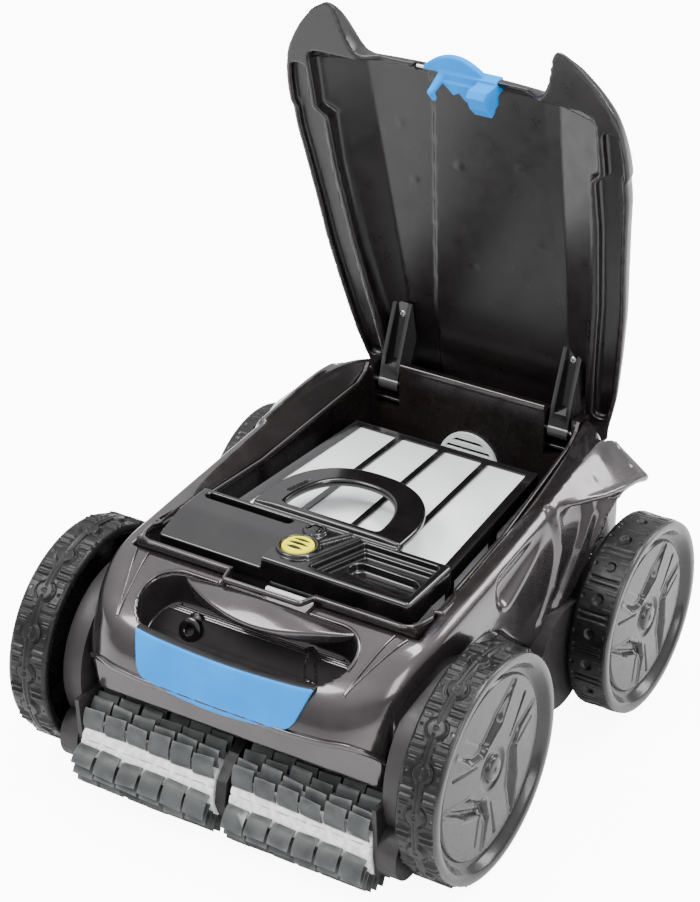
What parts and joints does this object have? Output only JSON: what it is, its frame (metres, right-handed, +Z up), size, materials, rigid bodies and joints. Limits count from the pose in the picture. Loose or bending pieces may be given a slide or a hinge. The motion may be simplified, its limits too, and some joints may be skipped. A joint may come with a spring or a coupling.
{
  "type": "robotic pool cleaner",
  "caption": "Robotic pool cleaner with lugged drive wheels, front brush rollers, an open hinged lid and a lift-out mesh filter basket with a D-shaped handle.",
  "frame": {"origin": "on the ground under the middle of the machine's box, with the lid open", "axes": "+X to the machine's right when looking along +Y, from the brush end to the hinge end; -Y is the front, with the brushes; +Z is up"},
  "size_m": [0.43, 0.4916, 0.6247],
  "materials": {
    "body_grey": "high gloss, metallic warm dark grey",
    "lid_grey": "satin brown-grey",
    "black_gloss": "glossy black",
    "black_matt": "fine-grained black",
    "bay_dark": "dark brown-grey",
    "tyre_rubber": "moulded rubber",
    "wheel_grey": "glossy mid grey",
    "blue": "satin light blue",
    "yellow": "glossy yellow",
    "mesh_white": "fine woven mesh",
    "roller_white": "pale moulded plastic",
    "fin_grey": "dark grey rubber",
    "gear_plastic": "natural moulded plastic",
    "steel": "ground steel",
    "motor_metal": "plated can",
    "screen_white": "pale moulded plastic"
  },
  "bodies": {
    "body": {"base_chassis": "black_matt", "body_shell": "body_grey", "filter_bay": "bay_dark", "front_trim": "blue", "handle_grip": "body_grey", "cable_gland": "black_gloss", "brush_hanger": "black_matt", "side_cover_left": "black_matt", "side_cover_right": "black_matt", "gear_axles": "steel", "motor_housing": "black_matt", "motor_housing_cap": "black_matt", "drive_motors": "motor_metal", "pump_motor": "motor_metal", "pump_screen": "screen_white", "outlet_grille": "black_matt", "hinge_pins": "steel"},
    "lid": {"lid_shell": "lid_grey", "lid_liner": "lid_grey", "hinge_arms": "black_gloss", "latch_spring": "steel"},
    "latch": {"lid_latch": "blue"},
    "front_wheel_left": {"tyre_front_left": "tyre_rubber", "rim_front_left": "wheel_grey", "hubcap_front_left": "wheel_grey", "wheel_gear_front_left": "gear_plastic"},
    "rear_wheel_left": {"tyre_rear_left": "tyre_rubber", "rim_rear_left": "wheel_grey", "hubcap_rear_left": "wheel_grey", "wheel_gear_rear_left": "gear_plastic"},
    "front_idler_left": {"front_idler_left": "gear_plastic"},
    "drive_pinion_left": {"drive_pinion_left": "steel"},
    "rear_idler_left": {"rear_idler_left": "gear_plastic"},
    "brush_idler_left": {"brush_idler_left": "gear_plastic"},
    "brush_left": {"brush_core_left": "roller_white", "brush_fins_left": "fin_grey", "brush_gear_left": "gear_plastic"},
    "front_wheel_right": {"tyre_front_right": "tyre_rubber", "rim_front_right": "wheel_grey", "hubcap_front_right": "wheel_grey", "wheel_gear_front_right": "gear_plastic"},
    "rear_wheel_right": {"tyre_rear_right": "tyre_rubber", "rim_rear_right": "wheel_grey", "hubcap_rear_right": "wheel_grey", "wheel_gear_rear_right": "gear_plastic"},
    "front_idler_right": {"front_idler_right": "gear_plastic"},
    "drive_pinion_right": {"drive_pinion_right": "steel"},
    "rear_idler_right": {"rear_idler_right": "gear_plastic"},
    "brush_idler_right": {"brush_idler_right": "gear_plastic"},
    "brush_right": {"brush_core_right": "roller_white", "brush_fins_right": "fin_grey", "brush_gear_right": "gear_plastic"},
    "impeller": {"impeller": "black_matt"},
    "filter": {"filter_frame": "black_gloss", "filter_mesh": "mesh_white", "filter_cover": "black_gloss", "filter_handle": "black_gloss", "button_spring": "steel"},
    "button": {"release_button": "yellow"},
    "flap": {"intake_flap": "black_matt"}
  },
  "joints": [
    {"name": "lid_hinge", "type": "hinge", "parent": "body", "child": "lid", "pos_m": [0, 0.20135, 0.228], "axis": [-1, 0, 0], "range_deg": [-81.4, 0]},
    {"name": "latch_press", "type": "hinge", "parent": "lid", "child": "latch", "pos_m": [0, 0.15524, 0.57298], "axis": [1, 0, 0], "range_deg": [0, 10], "stiffness_Nm_per_rad": 0.4},
    {"name": "front_wheel_left_spin", "type": "hinge", "parent": "body", "child": "front_wheel_left", "pos_m": [-0.19, -0.13665, 0.104], "axis": [1, 0, 0], "continuous": true},
    {"name": "rear_wheel_left_spin", "type": "hinge", "parent": "body", "child": "rear_wheel_left", "pos_m": [-0.19, 0.15235, 0.0935], "axis": [1, 0, 0], "continuous": true},
    {"name": "front_idler_left_spin", "type": "hinge", "parent": "body", "child": "front_idler_left", "pos_m": [-0.16, -0.04997, 0.08883], "axis": [1, 0, 0], "continuous": true},
    {"name": "drive_pinion_left_spin", "type": "hinge", "parent": "body", "child": "drive_pinion_left", "pos_m": [-0.16, 0.00914, 0.07849], "axis": [1, 0, 0], "continuous": true},
    {"name": "rear_idler_left_spin", "type": "hinge", "parent": "body", "child": "rear_idler_left", "pos_m": [-0.16, 0.06881, 0.08474], "axis": [1, 0, 0], "continuous": true},
    {"name": "brush_idler_left_spin", "type": "hinge", "parent": "body", "child": "brush_idler_left", "pos_m": [-0.16, -0.17804, 0.06628], "axis": [1, 0, 0], "continuous": true},
    {"name": "brush_left_spin", "type": "hinge", "parent": "body", "child": "brush_left", "pos_m": [-0.1, -0.20095, 0.0454], "axis": [1, 0, 0], "continuous": true},
    {"name": "front_wheel_right_spin", "type": "hinge", "parent": "body", "child": "front_wheel_right", "pos_m": [0.19, -0.13665, 0.104], "axis": [1, 0, 0], "continuous": true},
    {"name": "rear_wheel_right_spin", "type": "hinge", "parent": "body", "child": "rear_wheel_right", "pos_m": [0.19, 0.15235, 0.0935], "axis": [1, 0, 0], "continuous": true},
    {"name": "front_idler_right_spin", "type": "hinge", "parent": "body", "child": "front_idler_right", "pos_m": [0.16, -0.04997, 0.08883], "axis": [1, 0, 0], "continuous": true},
    {"name": "drive_pinion_right_spin", "type": "hinge", "parent": "body", "child": "drive_pinion_right", "pos_m": [0.16, 0.00914, 0.07849], "axis": [1, 0, 0], "continuous": true},
    {"name": "rear_idler_right_spin", "type": "hinge", "parent": "body", "child": "rear_idler_right", "pos_m": [0.16, 0.06881, 0.08474], "axis": [1, 0, 0], "continuous": true},
    {"name": "brush_idler_right_spin", "type": "hinge", "parent": "body", "child": "brush_idler_right", "pos_m": [0.16, -0.17804, 0.06628], "axis": [1, 0, 0], "continuous": true},
    {"name": "brush_right_spin", "type": "hinge", "parent": "body", "child": "brush_right", "pos_m": [0.1, -0.20095, 0.0454], "axis": [1, 0, 0], "continuous": true},
    {"name": "impeller_spin", "type": "hinge", "parent": "body", "child": "impeller", "pos_m": [0, 0.20135, 0.172], "axis": [0, 1, 0], "continuous": true},
    {"name": "filter_lift", "type": "slide", "parent": "body", "child": "filter", "axis": [0, 0, 1], "range_m": [0, 0.2]},
    {"name": "button_press", "type": "slide", "parent": "filter", "child": "button", "axis": [0, 0, -1], "range_m": [0, 0.004], "stiffness_N_per_m": 400, "deforming": ["button_spring"]},
    {"name": "flap_hinge", "type": "hinge", "parent": "filter", "child": "flap", "pos_m": [0, -0.11465, 0.1235], "axis": [1, 0, 0], "range_deg": [0, 40]}
  ],
  "couplings": [
    {"joint": "front_idler_left_spin", "follows": "front_wheel_left_spin", "ratio": -1},
    {"joint": "drive_pinion_left_spin", "follows": "front_wheel_left_spin", "ratio": 2.75},
    {"joint": "rear_idler_left_spin", "follows": "front_wheel_left_spin", "ratio": -1},
    {"joint": "rear_wheel_left_spin", "follows": "front_wheel_left_spin", "ratio": 1.1},
    {"joint": "brush_idler_left_spin", "follows": "front_wheel_left_spin", "ratio": -3.6667},
    {"joint": "brush_left_spin", "follows": "front_wheel_left_spin", "ratio": 2.3158},
    {"joint": "front_idler_right_spin", "follows": "front_wheel_right_spin", "ratio": -1},
    {"joint": "drive_pinion_right_spin", "follows": "front_wheel_right_spin", "ratio": 2.75},
    {"joint": "rear_idler_right_spin", "follows": "front_wheel_right_spin", "ratio": -1},
    {"joint": "rear_wheel_right_spin", "follows": "front_wheel_right_spin", "ratio": 1.1},
    {"joint": "brush_idler_right_spin", "follows": "front_wheel_right_spin", "ratio": -3.6667},
    {"joint": "brush_right_spin", "follows": "front_wheel_right_spin", "ratio": 2.3158}
  ]
}
